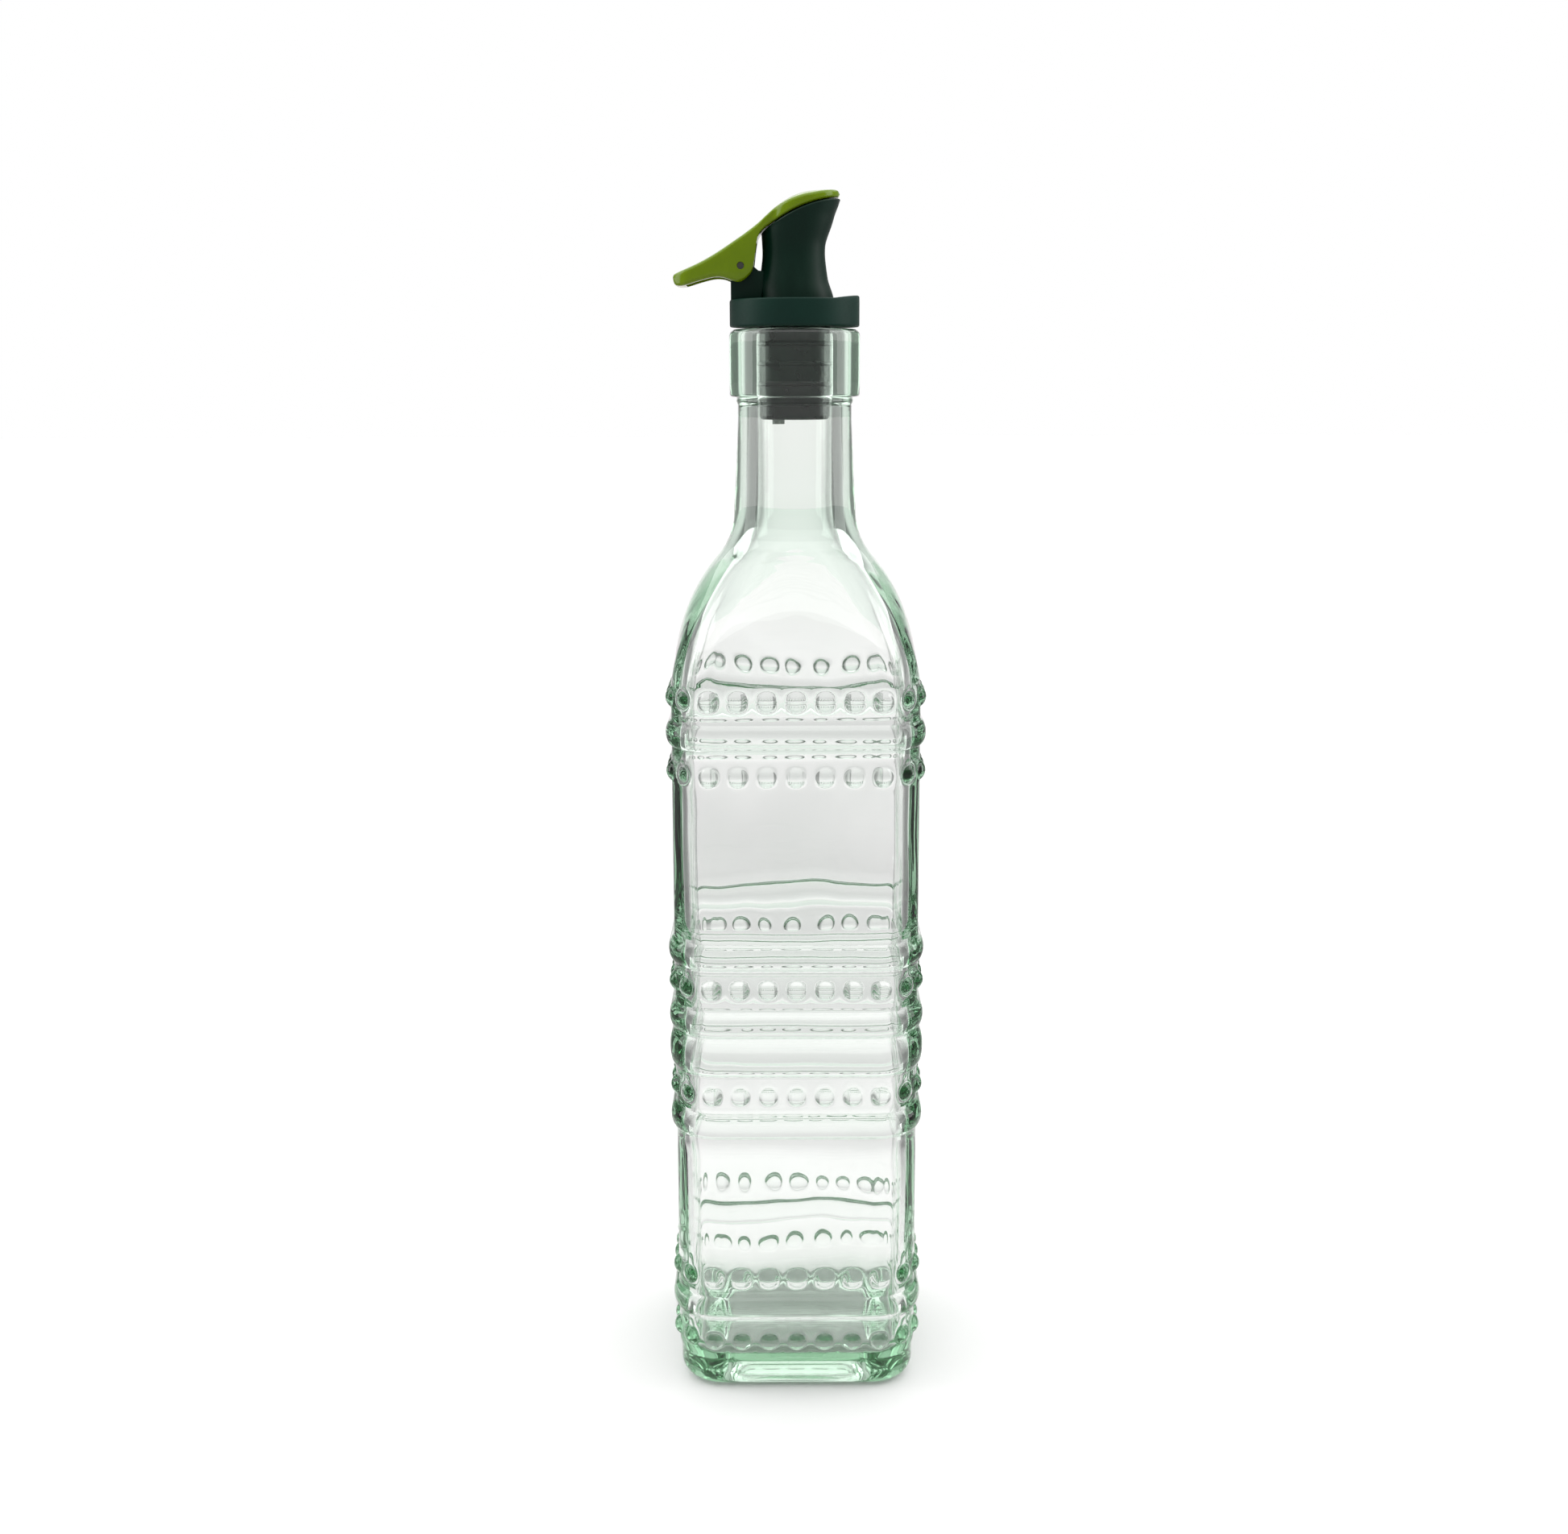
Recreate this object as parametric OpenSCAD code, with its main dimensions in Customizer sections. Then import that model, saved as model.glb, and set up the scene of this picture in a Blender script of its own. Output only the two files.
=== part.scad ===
// Square glass bottle for cooking oil with a flip-top pouring stopper.
// +Z is up, the spout points to +X and the thumb lever to -X. The base stands at z = 0.

/* [Glass body] */
// Width of the square body across its flat faces
body_w = 60; // [56:1:72]
// Radius of the four upright corners
corner_r = 11; // [9:0.5:14]
// Height of the glass from the base to the rim
glass_h = 262.3; // [258:0.1:280]
// Thickness of the body wall
wall = 4.1; // [4.1:0.1:5]
// Thickness of the glass floor
floor_t = 7.5; // [5:0.5:10]

/* [Shoulder and neck] */
// Height at which the shoulder starts to turn in
shoulder_z = 179; // [178.6:0.1:182]
// Radius of the rounded shoulder
shoulder_r = 44.5; // [42:0.1:50]
// Radius of the hollow curve between the shoulder and the neck
neck_fillet_r = 16; // [12:0.5:20]
// Diameter at the foot of the neck
neck_d = 29.8; // [29:0.1:31]
// Diameter of the collar that a hand grips under the rim
collar_d = 31.5; // [31:0.1:34]
// Height of the collar
collar_h = 15.9; // [12:0.1:18]
// Diameter of the bore that takes the stopper
bore_d = 18.4; // [18.4:0.1:19]

/* [Moulded decoration] */
// How far the bands stand out from the wall
band_out = 1.4; // [1:0.1:1.8]
// How far the beads stand out from the wall
bead_out = 1.35; // [1:0.05:1.6]
// Radius of the ball that each bead is part of
bead_r = 2.67; // [2.4:0.01:3]

/* [Pouring stopper] */
// Diameter of the drip collar
disc_d = 31.2; // [30:0.1:33]
// Thickness of the drip collar
disc_t = 6.4; // [5:0.1:7]
// Gap between the rim of the glass and the drip collar
disc_gap = 0.5; // [0.3:0.1:1]
// Outer diameter of the plug tube inside the rubber sleeve
plug_d = 14; // [13:0.1:14.4]
// Length of the sleeve below the drip collar
sleeve_l = 21.8; // [18:0.1:24]
// Clear diameter of the pouring channel
channel_d = 10.8; // [10:0.1:11.2]

/* [Flip lever] */
// Width of the lever at its thumb end and ears
lever_w = 12; // [11.4:0.1:13]
// Diameter of the lid over the mouth, seen from above
lid_d = 17.6; // [16.5:0.1:18.4]
// Diameter of the hinge pin
pin_d = 1.6; // [1.2:0.1:2]

/* [Hidden] */
$fn = 96;

half_w = body_w / 2;
core_w = body_w - 2 * corner_r;
neck_r = neck_d / 2;
neck_top_r = neck_r - 1.1;
collar_r = collar_d / 2;
collar_z = glass_h - collar_h;
step_z = collar_z - 1.7;
step_out = 0.25;
rim_round = 1.5;
bore_r = bore_d / 2;

// Foot of the body: a little narrower than the wall, with a rounded heel
foot_in = 0.5;
foot_h = 9;
heel_r = 4.5;

// Bands: [middle height, height of the band]
BANDS = [[167.4, 6.2], [113.5, 6.5], [96.4, 6.5], [88.1, 9.6], [70.4, 6.4], [22.1, 6.1]];
// Rows of beads: heights of their middles
BEAD_ROWS = [176.1, 158, 105.3, 78.2, 30, 13.4];
beads_per_face = 7;
bead_pitch = (4 * body_w - (8 - 2 * PI) * corner_r) / 32;

// Shoulder loft
ring_n = 48;
loft_steps = 12;
join = 0.05;

disc_z = glass_h + disc_gap;
disc_top = disc_z + disc_t;
plug_r = plug_d / 2;
channel_r = channel_d / 2;
sleeve_r = 8.5;
fin_r = bore_r - 0.08;
fin_pitch = 4.6;
fin_t = 0.9;
tip_in = 0.6;
flange_r = 8.8;
flange_t = 0.5;
disc_edge = 0.6;
lip_h = 0.9;
lip_in_r = 10;
lip_arc = 140;

// Spout: the mouth is cut by a large cylinder that lies across it
spout_x = 0.575;
mouth_r = 40;
mouth_x = 16.8;
mouth_z = disc_top - 16.3;
spout_wall = 1.3;
hollow_up = 4;
over = 1;

// Hinge of the lever
hinge_x = -12.8;
hinge_z = disc_top + 7.7;
knuckle_r = 2.4;
bracket_w = 7.2;
bracket_in = 6;
ear_t = 1.8;
lever_skin = 1.7;
pin_clear = 0.05;
lid_x = 1.9;
lid_gap = 0.35;
seal_gap = 0.1;
seal_t = 1.1;
seal_d = 12.6;
vent_x = -3.95;
vent_r = 1.5;
vent_wall = 0.5;
vent_l = 38;
vent_below = 1.2;

// Half width of the outline at height z: wall, rounded shoulder, hollow curve, neck.
// w is the half width of the body, r and f the two radii, n the radius of the neck.
function curve_top(w, r, f, n) = shoulder_z + sqrt(pow(r + f, 2) - pow(n + f + r - w, 2));
function curve_join(w, r, f, n) = shoulder_z + (curve_top(w, r, f, n) - shoulder_z) * r / (r + f);
function outline(z, w, r, f, n) =
    z <= shoulder_z ? w
    : z <= curve_join(w, r, f, n) ? w - r + sqrt(r * r - pow(z - shoulder_z, 2))
    : z <= curve_top(w, r, f, n) ? n + f - sqrt(f * f - pow(curve_top(w, r, f, n) - z, 2))
    : n;

// Distance from the axis to a rounded square of half width w and corner radius c,
// in the direction of angle a
function fold(a) = abs((a % 90) > 45 ? 90 - (a % 90) : (a % 90));
function reach(a, w, c) =
    let (b = fold(a), k = w - c, side = w / cos(b))
    side * sin(b) <= k ? side
    : k * (cos(b) + sin(b)) + sqrt(c * c - pow(k * (cos(b) - sin(b)), 2));

// One loft ring at height z, its corners growing until the section is a circle
function ring(z, w, r, f, n, c) =
    let (h = outline(z, w, r, f, n),
         t = max(0, (z - shoulder_z) / (curve_top(w, r, f, n) - shoulder_z)),
         grown = c + (h - c) * sin(90 * t))
    [for (i = [0 : ring_n - 1])
        let (a = 360 * (i + 0.5) / ring_n, d = reach(a, h, min(grown, h - 0.001)))
        [d * cos(a), d * sin(a), z]];

// Solid of stacked rings from just below the shoulder up to the foot of the neck
module shoulder_loft(w, r, f, n, c) {
    top = curve_top(w, r, f, n);
    rise = (top - shoulder_z) / loft_steps;
    heights = [shoulder_z - 1, for (i = [1 : loft_steps]) shoulder_z + rise * i];
    centres = [[0, 0, heights[0]], [0, 0, top]];
    points = [each centres, for (z = heights) each ring(z, w, r, f, n, c)];
    last = 2 + loft_steps * ring_n;
    faces = [for (i = [0 : ring_n - 1])
        let (j = (i + 1) % ring_n)
        each [[0, 2 + i, 2 + j], [1, last + j, last + i],
              for (a = [2 : ring_n : last - 1]) let (b = a + ring_n)
                  each [[a + i, b + i, b + j], [a + i, b + j, a + j]]]];
    polyhedron(points, faces);
}

// Sweeps a side view of the wall round a square: four straight sides, four turned corners
// and the middle. The side view starts at x = 0 on the centre of the corner.
module around_square(core, low, high) {
    for (side = [0 : 3]) rotate(side * 90) {
        translate([core / 2, core / 2, 0]) rotate_extrude(angle = 90) children();
        translate([core / 2, core / 2, 0]) rotate([90, 0, 0]) linear_extrude(core) children();
    }
    translate([-core / 2, -core / 2, low]) cube([core, core, high - low]);
}

// Side view of a band: a round bulge through the wall face
module band_bulge(z, h) {
    r = (h * h / 4 + band_out * band_out) / (2 * band_out);
    intersection() {
        translate([corner_r + band_out - r, z]) circle(r);
        translate([corner_r - 2, z - h / 2]) square([2 + band_out, h]);
    }
}

// Side view of the outer wall with its foot, heel and bands
module wall_side() {
    foot_w = corner_r - foot_in;
    translate([0, foot_h]) square([corner_r, shoulder_z - foot_h]);
    translate([0, heel_r]) square([foot_w, foot_h - heel_r]);
    square([foot_w - heel_r, heel_r]);
    intersection() {
        translate([foot_w - heel_r, heel_r]) circle(heel_r);
        translate([foot_w - heel_r, 0]) square(heel_r);
    }
    for (b = BANDS) band_bulge(b[0], b[1]);
}

// One row of beads: seven on each face and one on each corner
module bead_row(z) {
    sink = bead_r - bead_out;
    for (side = [0 : 3]) rotate(side * 90) {
        for (i = [-(beads_per_face - 1) / 2 : (beads_per_face - 1) / 2])
            translate([half_w - sink, i * bead_pitch, z]) sphere(bead_r, $fn = 24);
        translate([core_w / 2, core_w / 2, z]) rotate(45)
            translate([corner_r - sink, 0, 0]) sphere(bead_r, $fn = 24);
    }
}

// Neck above the shoulder, with the small step ring and the collar
module neck_solid() {
    top = curve_top(half_w, shoulder_r, neck_fillet_r, neck_r);
    rotate_extrude() union() {
        translate([0, top - 2]) square([neck_r - join, 3]);
        polygon([[0, top], [neck_r - join, top], [neck_top_r, step_z - 4], [neck_top_r, collar_z + 1],
                 [0, collar_z + 1]]);
        translate([0, step_z]) square([neck_top_r + step_out, 2]);
        translate([0, collar_z]) square([collar_r, collar_h - rim_round]);
        translate([0, glass_h - rim_round - 1]) square([collar_r - rim_round, rim_round + 1]);
        translate([collar_r - rim_round, glass_h - rim_round]) circle(rim_round);
    }
}

// Space for the oil: square body, shoulder and round neck bore
module oil_space() {
    in_w = half_w - wall;
    in_c = corner_r - wall;
    in_r = shoulder_r - wall;
    in_f = neck_fillet_r + 4;
    translate([0, 0, floor_t]) linear_extrude(shoulder_z - floor_t) union() {
        square([2 * in_w, 2 * (in_w - in_c)], center = true);
        square([2 * (in_w - in_c), 2 * in_w], center = true);
        for (x = [-1, 1], y = [-1, 1]) translate([x, y] * (in_w - in_c)) circle(in_c);
    }
    shoulder_loft(in_w - join, in_r, in_f, bore_r + 2 * join, in_c);
    translate([0, 0, shoulder_z + 2]) cylinder(r = bore_r, h = glass_h - shoulder_z);
}

// The bottle, one piece of pressed and blown glass
module glass_bottle() {
    color([0.72, 0.84, 0.76, 0.55]) union() {
        difference() {
            union() {
                around_square(core_w, 0, shoulder_z) wall_side();
                shoulder_loft(half_w - join, shoulder_r, neck_fillet_r, neck_r, corner_r);
                neck_solid();
            }
            oil_space();
        }
        for (z = BEAD_ROWS) bead_row(z);
    }
}

// Round collar under the spout that catches drips, with a raised lip on the pouring side
module drip_collar() {
    color([0.17, 0.26, 0.22]) difference() {
        union() {
            translate([0, 0, disc_z]) rotate_extrude() union() {
                translate([0, disc_edge]) square([disc_d / 2, disc_t - 2 * disc_edge]);
                square([disc_d / 2 - disc_edge, disc_t]);
                for (z = [disc_edge, disc_t - disc_edge])
                    translate([disc_d / 2 - disc_edge, z]) circle(disc_edge);
            }
            translate([0, 0, disc_top]) rotate(-lip_arc / 2) rotate_extrude(angle = lip_arc)
                polygon([[lip_in_r, -0.5], [disc_d / 2 - 2 * disc_edge, lip_h],
                         [disc_d / 2 - disc_edge, lip_h], [disc_d / 2 - 0.4, -0.5]]);
        }
        translate([0, 0, disc_z - 1]) cylinder(r = plug_r, h = disc_t + 3);
    }
}

// Cylinder across the spout that shapes the mouth, and everything above it
module mouth_roller(extra) {
    translate([mouth_x, 0, mouth_z]) rotate([90, 0, 0])
        cylinder(r = mouth_r + extra, h = 40, center = true, $fn = 240);
}

// Side view of the spout from its axis outwards, made smaller by the wall for the inside
module spout_side(inset) {
    z = disc_top;
    waist = 7.45 - inset;
    polygon([[0, z], [8.87 - inset, z], [8.55 - inset, z + 2.4], [7.9 - inset, z + 6.4],
             [7.5 - inset, z + 9.6], [waist, z + 11], [waist + 0.1, z + 13],
             [waist + 0.75, z + 16], [waist + 1.5, z + 19.4], [waist + 2.6, z + 22],
             [waist + 3.1, z + 24], [0, z + 24]]);
}

// Spout, hinge bracket and plug tube, one moulding
module spout_body() {
    block_x = hinge_x - knuckle_r;
    color([0.10, 0.18, 0.15]) difference() {
        union() {
            intersection() {
                translate([spout_x, 0, 0]) rotate_extrude() spout_side(0);
                mouth_roller(0);
            }
            translate([block_x, -bracket_w / 2, disc_top])
                cube([-block_x - bracket_in, bracket_w, hinge_z - disc_top - over]);
            translate([hinge_x, 0, hinge_z]) rotate([90, 0, 0])
                cylinder(r = knuckle_r, h = bracket_w, center = true);
            translate([0, 0, disc_z - sleeve_l + over])
                cylinder(r = plug_r, h = sleeve_l + disc_t);
        }
        translate([0, 0, disc_z - sleeve_l])
            cylinder(r = channel_r, h = sleeve_l + disc_t + 2 * hollow_up);
        intersection() {
            translate([spout_x, 0, 2 * over]) rotate_extrude() spout_side(spout_wall);
            translate([0, 0, disc_top + hollow_up]) cylinder(r = disc_d / 2, h = mouth_r);
        }
        translate([hinge_x, 0, hinge_z]) rotate([90, 0, 0])
            cylinder(d = pin_d, h = bracket_w + 2, center = true);
    }
}

// Ribbed rubber sleeve on the plug tube, which grips the bore of the glass
module stopper_sleeve() {
    low = disc_z - sleeve_l;
    color([0.12, 0.15, 0.13]) rotate_extrude() {
        translate([plug_r, low + over]) square([sleeve_r - plug_r, sleeve_l - over]);
        translate([channel_r, low]) square([sleeve_r - channel_r - tip_in, over]);
        translate([plug_r, disc_z - flange_t]) square([flange_r - plug_r, flange_t]);
        for (i = [1 : 4]) translate([plug_r, disc_z + 0.1 - i * fin_pitch])
            square([fin_r - plug_r, fin_t]);
    }
}

// Narrow tube that lets air back into the bottle beside the pouring channel
module air_tube() {
    low = disc_z - sleeve_l - vent_below;
    color([0.85, 0.87, 0.85]) translate([vent_x, 0, low]) difference() {
        cylinder(r = vent_r, h = vent_l);
        translate([0, 0, -over]) cylinder(r = vent_r - vent_wall, h = vent_l + 2 * over);
    }
}

// Steel pin of the lever
module hinge_pin() {
    color([0.75, 0.75, 0.76]) translate([hinge_x, 0, hinge_z]) rotate([90, 0, 0])
        cylinder(d = pin_d, h = lever_w - 0.8, center = true);
}

// Side view of the lever: thumb end, ears round the pin and the arm to the lid
module lever_side() {
    translate([0, disc_top])
        polygon([[-28.7, 5.6], [-28.9, 4.6], [-28.2, 3.2], [-26.3, 3.2], [-22, 4.4], [-18.8, 5.1],
                 [-16.4, 4.9], [-14.4, 4.1], [-12.6, 4.1], [-11.1, 5.1], [-10, 6.5], [-9.6, 8.2],
                 [-9.2, 12.4], [-8.1, 15.2], [-6.3, 16.8], [-3.5, 21.9], [-5.7, 20.4],
                 [-9.6, 17], [-14.4, 13.7], [-19.8, 10.3], [-24.2, 8.1]]);
}

// Side view of the lid above the mouth
module lid_side() {
    translate([0, disc_top])
        polygon([[-9, 12], [-9.6, 17], [-5.7, 20.4], [-3, 22.6], [-0.9, 23.7], [2.2, 24.8],
                 [6.7, 25.2], [10.1, 25.2], [11, 24.4], [11, 12]]);
}

// Round lid over the mouth, hollowed underneath for the seal
module lid_solid() {
    difference() {
        intersection() {
            rotate([90, 0, 0]) linear_extrude(lid_d, center = true) lid_side();
            translate([lid_x, 0, disc_top]) cylinder(d = lid_d, h = 30);
        }
        mouth_roller(lid_gap);
        intersection() {
            mouth_roller(seal_gap + seal_t);
            translate([lid_x, 0, disc_top + 10]) cylinder(d = seal_d, h = 20);
        }
    }
}

// Thumb lever and lid, one glossy moulding that swings on the pin
module flip_lever() {
    color([0.42, 0.53, 0.02]) union() {
        lid_solid();
        difference() {
            rotate([90, 0, 0]) linear_extrude(lever_w, center = true) lever_side();
            translate([0, 0, -lever_skin]) rotate([90, 0, 0])
                linear_extrude(lever_w - 2 * ear_t, center = true) intersection() {
                    union() {
                        lever_side();
                        translate([0, -6]) lever_side();
                    }
                    translate([-40, disc_top - 10]) square([31, 40]);
                }
            translate([hinge_x, 0, hinge_z]) rotate([90, 0, 0])
                cylinder(r = pin_d / 2 + pin_clear, h = lever_w + 2, center = true);
        }
    }
}

// Soft pad under the lid that closes the mouth
module lid_seal() {
    color([0.16, 0.18, 0.16]) difference() {
        intersection() {
            translate([lid_x, 0, disc_top + 10]) cylinder(d = seal_d, h = 20);
            mouth_roller(seal_gap + seal_t);
        }
        mouth_roller(seal_gap);
    }
}

glass_bottle();
drip_collar();
spout_body();
stopper_sleeve();
air_tube();
hinge_pin();
flip_lever();
lid_seal();
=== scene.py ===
import math

import bmesh
import bpy
from mathutils import Matrix, Vector, noise


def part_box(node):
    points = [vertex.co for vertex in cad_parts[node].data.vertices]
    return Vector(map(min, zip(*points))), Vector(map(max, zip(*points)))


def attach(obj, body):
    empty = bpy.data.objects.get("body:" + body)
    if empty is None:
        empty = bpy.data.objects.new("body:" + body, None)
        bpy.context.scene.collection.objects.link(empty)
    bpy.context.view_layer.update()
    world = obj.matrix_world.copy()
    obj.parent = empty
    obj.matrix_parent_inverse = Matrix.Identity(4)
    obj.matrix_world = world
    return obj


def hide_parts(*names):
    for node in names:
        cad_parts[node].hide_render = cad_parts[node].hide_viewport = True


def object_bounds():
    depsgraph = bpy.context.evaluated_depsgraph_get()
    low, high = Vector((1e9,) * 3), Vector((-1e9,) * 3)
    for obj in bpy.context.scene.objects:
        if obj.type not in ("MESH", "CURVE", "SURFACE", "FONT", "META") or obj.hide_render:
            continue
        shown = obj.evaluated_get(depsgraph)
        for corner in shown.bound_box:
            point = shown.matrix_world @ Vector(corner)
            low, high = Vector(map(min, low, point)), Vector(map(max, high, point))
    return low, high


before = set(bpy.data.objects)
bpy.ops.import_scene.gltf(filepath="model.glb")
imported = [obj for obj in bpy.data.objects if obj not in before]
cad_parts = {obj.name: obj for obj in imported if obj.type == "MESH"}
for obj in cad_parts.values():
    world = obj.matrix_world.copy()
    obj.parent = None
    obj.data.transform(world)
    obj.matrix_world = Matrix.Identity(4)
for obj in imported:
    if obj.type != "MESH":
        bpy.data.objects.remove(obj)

cad_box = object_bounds()
mm = 0.001

# --- Studio -------------------------------------------------------------------------------
# Pale paper floor, two soft boxes, and a room that is bright only straight behind the bottle;
# the camera itself sees plain white. The greys by direction were set for the main camera and
# stand for no real room, so the glass looks greyer from other sides.


def linear(hexa, alpha=1.0):
    """sRGB hex colour as the linear values that a shader socket takes."""
    parts = [int(hexa[i:i + 2], 16) / 255 for i in (0, 2, 4)]
    return [p / 12.92 if p <= 0.04045 else ((p + 0.055) / 1.055) ** 2.4 for p in parts] + [alpha]


def add_node(tree, kind, settings=None, **sockets):
    """A shader node with its settings, and each named socket set or linked."""
    made = tree.nodes.new(kind)
    for name, value in (settings or {}).items():
        setattr(made, name, value)
    for name, value in sockets.items():
        socket = made.inputs[int(name[1:]) if name[0] == "_" else name.replace("_", " ")]
        if isinstance(value, bpy.types.NodeSocket):
            tree.links.new(value, socket)
        else:
            socket.default_value = value
    return made


def new_material(name):
    """An empty node material and its output node."""
    made = bpy.data.materials.new(name)
    made.use_nodes = True
    made.node_tree.nodes.clear()
    return made, made.node_tree, made.node_tree.nodes.new("ShaderNodeOutputMaterial")


scene = bpy.context.scene
scene.view_settings.view_transform = "Standard"
scene.cycles.max_bounces = 28
scene.cycles.transmission_bounces = 26
scene.cycles.glossy_bounces = 12
scene.cycles.caustics_refractive = True
scene.cycles.caustics_reflective = True

world = bpy.data.worlds.new("studio_room")
scene.world = world
world.use_nodes = True
room = world.node_tree
room.nodes.clear()
toward = add_node(room, "ShaderNodeTexCoord").outputs["Generated"]
axes = add_node(room, "ShaderNodeSeparateXYZ", Vector=toward)
depth = add_node(room, "ShaderNodeMapRange", _0=axes.outputs["Y"], _1=-1.0, _2=1.0, _3=0.0, _4=1.0)
# Brightness from straight in front of the bottle (0) to straight behind it (1)
front_grey = 0.35
room_steps = ((0.35, 0.28), (0.62, 0.23), (0.86, 0.22), (0.945, 0.31), (0.978, 0.92))
wall = add_node(room, "ShaderNodeValToRGB", _0=depth.outputs[0])
wall.color_ramp.elements[0].color = (front_grey, front_grey, front_grey, 1)
wall.color_ramp.elements[1].color = (1.03, 1.02, 1.02, 1)
for stop, grey in room_steps:
    wall.color_ramp.elements.new(stop).color = (grey, grey, grey, 1)
glow = add_node(room, "ShaderNodeBackground", Color=wall.outputs[0], Strength=1.0)
plain = add_node(room, "ShaderNodeBackground", Color=(1, 1, 1, 1), Strength=1.0)
seen = add_node(room, "ShaderNodeLightPath").outputs["Is Camera Ray"]
sky = add_node(room, "ShaderNodeMixShader", _0=seen, _1=glow.outputs[0], _2=plain.outputs[0])
room.links.new(sky.outputs[0], add_node(room, "ShaderNodeOutputWorld").inputs["Surface"])


def soft_box(name, place, target, size, watts):
    """A large rectangular area light that faces its target."""
    lamp = bpy.data.lights.new(name, "AREA")
    lamp.shape = "RECTANGLE"
    lamp.size, lamp.size_y = size
    lamp.energy = watts
    made = bpy.data.objects.new(name, lamp)
    made.location = place
    made.rotation_euler = (Vector(target) - Vector(place)).to_track_quat("-Z", "Y").to_euler()
    scene.collection.objects.link(made)


middle_height = cad_box[1].z / 2
box_watts = 3.6
box_size = (0.5, 1.1)
soft_box("left_box", (-0.95, 0.05, 0.45), (0, 0, middle_height), box_size, box_watts)
soft_box("right_box", (0.95, 0.05, 0.45), (0, 0, middle_height), box_size, box_watts)
ceiling = bpy.data.lights.new("ceiling_light", "SUN")
ceiling.energy = 2.75
ceiling.angle = math.radians(120)
overhead = bpy.data.objects.new("ceiling_light", ceiling)
overhead.rotation_euler = (math.radians(-12), 0, 0)
scene.collection.objects.link(overhead)

floor_half = 9
floor_z = -0.1 * mm
floor_mesh = bpy.data.meshes.new("floor")
shape = bmesh.new()
bmesh.ops.create_grid(shape, x_segments=1, y_segments=1, size=floor_half,
                      matrix=Matrix.Translation((0, 0, floor_z)))
shape.to_mesh(floor_mesh)
shape.free()
floor = bpy.data.objects.new("floor", floor_mesh)
scene.collection.objects.link(floor)

# Matt paper, a little pink so that panels of the green glass come out grey. To everything but the
# camera it carries painted light and shade that go with the room: painted shade in a ring round the
# bottle, a painted lighter patch right by it against its own shadow, and a painted bright strip
# straight behind it.
paper_tint = (1.0, 0.93, 0.965, 1)
painted_shade_steps = ((0.04, 0.9), (0.09, 0.7), (0.18, 0.64), (0.3, 0.78), (0.5, 0.95))
painted_side_shade = 0.52
painted_backlight_steps = ((0.4, 0.42), (0.6, 0.32), (0.87, 0.28), (0.945, 0.42), (0.978, 1.0))
paper, tree, out = new_material("matt_paper_floor")
place = add_node(tree, "ShaderNodeTexCoord").outputs["Object"]
away = add_node(tree, "ShaderNodeVectorMath", {"operation": "LENGTH"}, _0=place).outputs["Value"]
# Painted shade by distance: lighter right by the bottle against its shadow, darker in a ring
# further out.
far = add_node(tree, "ShaderNodeMapRange", _0=away, _1=0.0, _2=2.5, _3=0.0, _4=1.0)
shade = add_node(tree, "ShaderNodeValToRGB", _0=far.outputs[0])
shade.color_ramp.elements[0].color = paper_tint
shade.color_ramp.elements[1].color = paper_tint
for stop, grey in painted_shade_steps:
    shade.color_ramp.elements.new(stop).color = (1.06 * grey, 0.985 * grey, 1.03 * grey, 1)
# Painted light by direction: bright straight behind the bottle, painted shade towards the sides and
# front.
heading = add_node(tree, "ShaderNodeVectorMath", {"operation": "NORMALIZE"}, _0=place)
back = add_node(tree, "ShaderNodeSeparateXYZ", Vector=heading.outputs[0]).outputs["Y"]
side_on = add_node(tree, "ShaderNodeMapRange", _0=back, _1=-1.0, _2=1.0, _3=0.0, _4=1.0)
painted_backlight = add_node(tree, "ShaderNodeValToRGB", _0=side_on.outputs[0])
painted_backlight.color_ramp.elements[0].color = (painted_side_shade, painted_side_shade, painted_side_shade, 1)
painted_backlight.color_ramp.elements[1].color = (1, 1, 1, 1)
for stop, grey in painted_backlight_steps:
    painted_backlight.color_ramp.elements.new(stop).color = (grey, grey, grey, 1)
near = add_node(tree, "ShaderNodeMapRange", _0=away, _1=0.06, _2=0.3, _3=0.0, _4=1.0)
dimmed = add_node(tree, "ShaderNodeMixRGB", {"blend_type": "MULTIPLY"}, _0=near.outputs[0],
                  _1=shade.outputs[0], _2=painted_backlight.outputs[0])
seen = add_node(tree, "ShaderNodeLightPath").outputs["Is Camera Ray"]
tone = add_node(tree, "ShaderNodeMixRGB", _0=seen, _1=dimmed.outputs[0], _2=(0.97, 0.97, 0.965, 1))
surface = add_node(tree, "ShaderNodeBsdfDiffuse", Color=tone.outputs[0])
tree.links.new(surface.outputs[0], out.inputs["Surface"])
floor_mesh.materials.append(paper)

# --- Camera -------------------------------------------------------------------------------
# A normal lens at the height of the neck, looking a little down on the bottle.
eye = (-2.86 * mm, -462.3 * mm, 249.0 * mm)
look_down = 11.52
camera_data = bpy.data.cameras.new("camera")
camera_data.sensor_width = 36
camera_data.lens = 42.94
camera_data.clip_start = 0.01
camera = bpy.data.objects.new("camera", camera_data)
pitch = math.radians(90 - look_down)
roll = math.radians(-0.17)
turned = Matrix.Rotation(pitch, 4, "X") @ Matrix.Rotation(roll, 4, "Z")
camera.matrix_world = Matrix.Translation(eye) @ turned
scene.collection.objects.link(camera)
scene.camera = camera

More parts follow.
